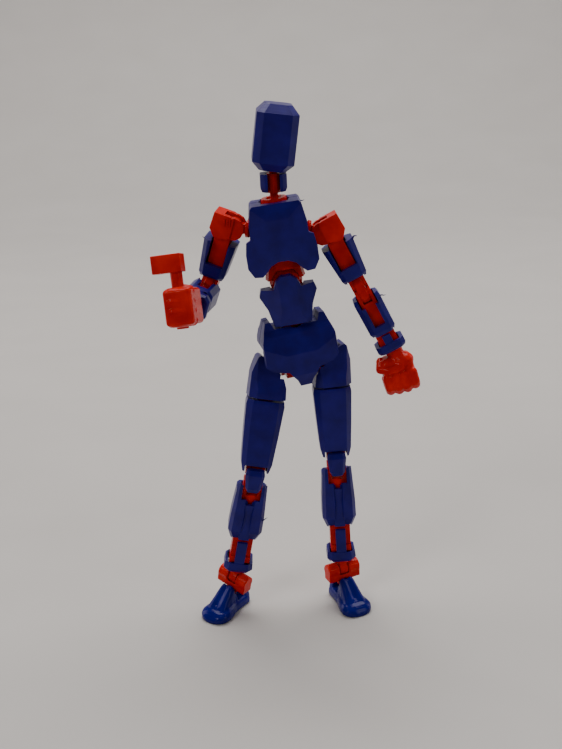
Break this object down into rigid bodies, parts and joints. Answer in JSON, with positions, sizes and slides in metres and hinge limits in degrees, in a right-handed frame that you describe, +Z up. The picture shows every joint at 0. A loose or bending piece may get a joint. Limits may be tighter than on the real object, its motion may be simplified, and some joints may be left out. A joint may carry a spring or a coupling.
{
  "type": "articulated figure mannequin",
  "caption": "Posable jointed drawing figure: faceted blue covers clipped over a red-orange frame of pins, forks and balls, standing with a small mallet raised.",
  "frame": {"origin": "on the floor, under the middle of the whole figure's box in its stored pose", "axes": "+Z up, the figure faces -Y, its left side is +X"},
  "size_m": [0.0646, 0.0338, 0.1343],
  "materials": {
    "frame_plastic": "glossy printed plastic, slightly translucent",
    "cover_plastic": "satin printed plastic"
  },
  "bodies": {
    "pelvis": {"pelvis_frame": "frame_plastic", "pelvis_front": "cover_plastic", "pelvis_back": "cover_plastic"},
    "waist": {"waist_link": "frame_plastic"},
    "abdomen": {"abdomen_frame": "frame_plastic", "abdomen_front": "cover_plastic", "abdomen_back": "cover_plastic"},
    "chest": {"chest_frame": "frame_plastic", "chest_front": "cover_plastic", "chest_back": "cover_plastic"},
    "neck": {"neck_post": "frame_plastic", "neck_cover": "cover_plastic"},
    "head": {"head_core": "frame_plastic", "head_shell": "cover_plastic"},
    "shoulder_left": {"shoulder_link_left": "frame_plastic"},
    "upper_arm_left": {"upper_arm_frame_left": "frame_plastic", "upper_arm_cover_left": "cover_plastic"},
    "elbow_left": {"elbow_link_left": "frame_plastic"},
    "forearm_left": {"forearm_frame_left": "frame_plastic", "forearm_cover_left": "cover_plastic", "wrist_cuff_left": "cover_plastic"},
    "hand_left": {"hand_left": "frame_plastic"},
    "shoulder_right": {"shoulder_link_right": "frame_plastic"},
    "upper_arm_right": {"upper_arm_frame_right": "frame_plastic", "upper_arm_cover_right": "cover_plastic"},
    "elbow_right": {"elbow_link_right": "frame_plastic"},
    "forearm_right": {"forearm_frame_right": "frame_plastic", "forearm_cover_right": "cover_plastic", "wrist_cuff_right": "cover_plastic"},
    "hand_right": {"hand_right": "frame_plastic", "mallet_right": "frame_plastic"},
    "hip_left": {"hip_link_left": "frame_plastic"},
    "upper_thigh_left": {"upper_thigh_frame_left": "frame_plastic", "upper_thigh_cover_left": "cover_plastic"},
    "thigh_left": {"thigh_frame_left": "frame_plastic", "thigh_cover_left": "cover_plastic"},
    "knee_left": {"knee_link_left": "frame_plastic", "kneecap_left": "cover_plastic"},
    "shin_left": {"shin_frame_left": "frame_plastic", "shin_cover_left": "cover_plastic", "ankle_cuff_left": "cover_plastic"},
    "ankle_swivel_left": {"ankle_link_left": "frame_plastic"},
    "ankle_left": {"ankle_yoke_left": "frame_plastic"},
    "foot_left": {"foot_left": "cover_plastic"},
    "hip_right": {"hip_link_right": "frame_plastic"},
    "upper_thigh_right": {"upper_thigh_frame_right": "frame_plastic", "upper_thigh_cover_right": "cover_plastic"},
    "thigh_right": {"thigh_frame_right": "frame_plastic", "thigh_cover_right": "cover_plastic"},
    "knee_right": {"knee_link_right": "frame_plastic", "kneecap_right": "cover_plastic"},
    "shin_right": {"shin_frame_right": "frame_plastic", "shin_cover_right": "cover_plastic", "ankle_cuff_right": "cover_plastic"},
    "ankle_swivel_right": {"ankle_link_right": "frame_plastic"},
    "ankle_right": {"ankle_yoke_right": "frame_plastic"},
    "foot_right": {"foot_right": "cover_plastic"}
  },
  "joints": [
    {"name": "waist_turn", "type": "hinge", "parent": "pelvis", "child": "waist", "pos_m": [0.00048, 0.00974, 0.07689], "axis": [-0.1196, -0.0233, 0.9925], "range_deg": [-11, 24]},
    {"name": "waist_bend", "type": "hinge", "parent": "waist", "child": "abdomen", "pos_m": [0.00008, 0.00966, 0.08016], "axis": [0.9911, 0.0333, 0.129], "range_deg": [-9, 8]},
    {"name": "chest_tilt", "type": "hinge", "parent": "abdomen", "child": "chest", "pos_m": [-0.00137, 0.00939, 0.09136], "axis": [0.036, -0.9992, -0.0191], "range_deg": [-5, 18]},
    {"name": "neck_bend", "type": "hinge", "parent": "chest", "child": "neck", "pos_m": [-0.00347, 0.00895, 0.11045], "axis": [0.9993, 0.0359, 0.0055], "range_deg": [-20, 20]},
    {"name": "head_turn", "type": "hinge", "parent": "neck", "child": "head", "pos_m": [-0.00351, 0.00876, 0.12044], "axis": [0.1447, -0.0137, 0.9894], "range_deg": [-90, 90]},
    {"name": "shoulder_swing_left", "type": "hinge", "parent": "chest", "child": "shoulder_left", "pos_m": [0.00097, 0.00922, 0.1048], "axis": [0.9619, 0.0399, -0.2703], "range_deg": [-60, 60]},
    {"name": "shoulder_raise_left", "type": "hinge", "parent": "shoulder_left", "child": "upper_arm_left", "pos_m": [0.0079, 0.00951, 0.10285], "axis": [-0.036, 0.9992, 0.0191], "range_deg": [-51, 3]},
    {"name": "elbow_upper_left", "type": "hinge", "parent": "upper_arm_left", "child": "elbow_left", "pos_m": [0.01642, 0.01006, 0.0899], "axis": [0.8961, 0.0239, 0.4432], "range_deg": [-62, 1]},
    {"name": "elbow_lower_left", "type": "hinge", "parent": "elbow_left", "child": "forearm_left", "pos_m": [0.01801, 0.01012, 0.08667], "axis": [0.8961, 0.0239, 0.4432], "range_deg": [-58, 1]},
    {"name": "wrist_turn_left", "type": "hinge", "parent": "forearm_left", "child": "hand_left", "pos_m": [0.02497, 0.01009, 0.0726], "axis": [-0.4434, 0.0018, 0.8963], "range_deg": [-90, 90]},
    {"name": "shoulder_swing_right", "type": "hinge", "parent": "chest", "child": "shoulder_right", "pos_m": [-0.00657, 0.00896, 0.10397], "axis": [0.9722, -0.1985, -0.1241], "range_deg": [-90, 90]},
    {"name": "shoulder_raise_right", "type": "hinge", "parent": "shoulder_right", "child": "upper_arm_right", "pos_m": [-0.01357, 0.01039, 0.10486], "axis": [0.2144, 0.9679, 0.1313], "range_deg": [-10, 60]},
    {"name": "elbow_upper_right", "type": "hinge", "parent": "upper_arm_right", "child": "elbow_right", "pos_m": [-0.02011, 0.0137, 0.09118], "axis": [0.9262, -0.1587, -0.3421], "range_deg": [-8, 45]},
    {"name": "elbow_lower_right", "type": "hinge", "parent": "elbow_right", "child": "forearm_right", "pos_m": [-0.02142, 0.01148, 0.08866], "axis": [0.9262, -0.1587, -0.3421], "range_deg": [-12, 45]},
    {"name": "wrist_turn_right", "type": "hinge", "parent": "forearm_right", "child": "hand_right", "pos_m": [-0.02389, -0.00402, 0.08917], "axis": [0.1572, 0.987, -0.0322], "range_deg": [-90, 90]},
    {"name": "hip_swing_left", "type": "hinge", "parent": "pelvis", "child": "hip_left", "pos_m": [0.00908, 0.01141, 0.07031], "axis": [0.9743, 0.1894, 0.1219], "range_deg": [-23, 30]},
    {"name": "hip_spread_left", "type": "hinge", "parent": "hip_left", "child": "upper_thigh_left", "pos_m": [0.00908, 0.01141, 0.07031], "axis": [-0.1822, 0.9809, -0.0678], "range_deg": [-30, 2]},
    {"name": "thigh_turn_left", "type": "hinge", "parent": "upper_thigh_left", "child": "thigh_left", "pos_m": [0.00933, 0.01095, 0.06302], "axis": [0.0337, -0.0627, -0.9975], "range_deg": [-45, 45]},
    {"name": "knee_upper_left", "type": "hinge", "parent": "thigh_left", "child": "knee_left", "pos_m": [0.00994, 0.00981, 0.04487], "axis": [0.9991, 0.0283, 0.032], "range_deg": [-2, 65]},
    {"name": "knee_lower_left", "type": "hinge", "parent": "knee_left", "child": "shin_left", "pos_m": [0.0101, 0.00971, 0.03987], "axis": [0.9991, 0.0283, 0.032], "range_deg": [-2, 50]},
    {"name": "ankle_turn_left", "type": "hinge", "parent": "shin_left", "child": "ankle_swivel_left", "pos_m": [0.01095, 0.01037, 0.0129], "axis": [-0.0313, -0.0245, 0.9992], "range_deg": [-30, 30]},
    {"name": "ankle_bend_left", "type": "hinge", "parent": "ankle_swivel_left", "child": "ankle_left", "pos_m": [0.01106, 0.01046, 0.0094], "axis": [0.9223, 0.3845, 0.0383], "range_deg": [-35, 40]},
    {"name": "ankle_roll_left", "type": "hinge", "parent": "ankle_left", "child": "foot_left", "pos_m": [0.01119, 0.01051, 0.0058], "axis": [-0.3848, 0.923, 0], "range_deg": [-15, 15]},
    {"name": "hip_swing_right", "type": "hinge", "parent": "pelvis", "child": "hip_right", "pos_m": [-0.00631, 0.00842, 0.06838], "axis": [0.9743, 0.1894, 0.1219], "range_deg": [-37, 23]},
    {"name": "hip_spread_right", "type": "hinge", "parent": "hip_right", "child": "upper_thigh_right", "pos_m": [-0.00631, 0.00842, 0.06838], "axis": [-0.1712, 0.9745, -0.1453], "range_deg": [-10, 25]},
    {"name": "thigh_turn_right", "type": "hinge", "parent": "upper_thigh_right", "child": "thigh_right", "pos_m": [-0.00767, 0.00713, 0.06132], "axis": [0.1863, 0.1769, 0.9664], "range_deg": [-45, 45]},
    {"name": "knee_upper_right", "type": "hinge", "parent": "thigh_right", "child": "knee_right", "pos_m": [-0.01106, 0.00391, 0.04374], "axis": [0.98, 0.0358, -0.1955], "range_deg": [-9, 60]},
    {"name": "knee_lower_right", "type": "hinge", "parent": "knee_right", "child": "shin_right", "pos_m": [-0.01204, 0.00383, 0.03883], "axis": [0.98, 0.0358, -0.1955], "range_deg": [-9, 50]},
    {"name": "ankle_turn_right", "type": "hinge", "parent": "shin_right", "child": "ankle_swivel_right", "pos_m": [-0.0174, 0.00786, 0.01268], "axis": [0.1987, -0.1489, 0.9687], "range_deg": [-30, 30]},
    {"name": "ankle_bend_right", "type": "hinge", "parent": "ankle_swivel_right", "child": "ankle_right", "pos_m": [-0.0181, 0.00838, 0.00929], "axis": [0.7757, -0.5802, -0.2483], "range_deg": [-35, 40]},
    {"name": "ankle_roll_right", "type": "hinge", "parent": "ankle_right", "child": "foot_right", "pos_m": [-0.01881, 0.00891, 0.0058], "axis": [0.599, 0.8008, 0], "range_deg": [-9, 30]}
  ]
}
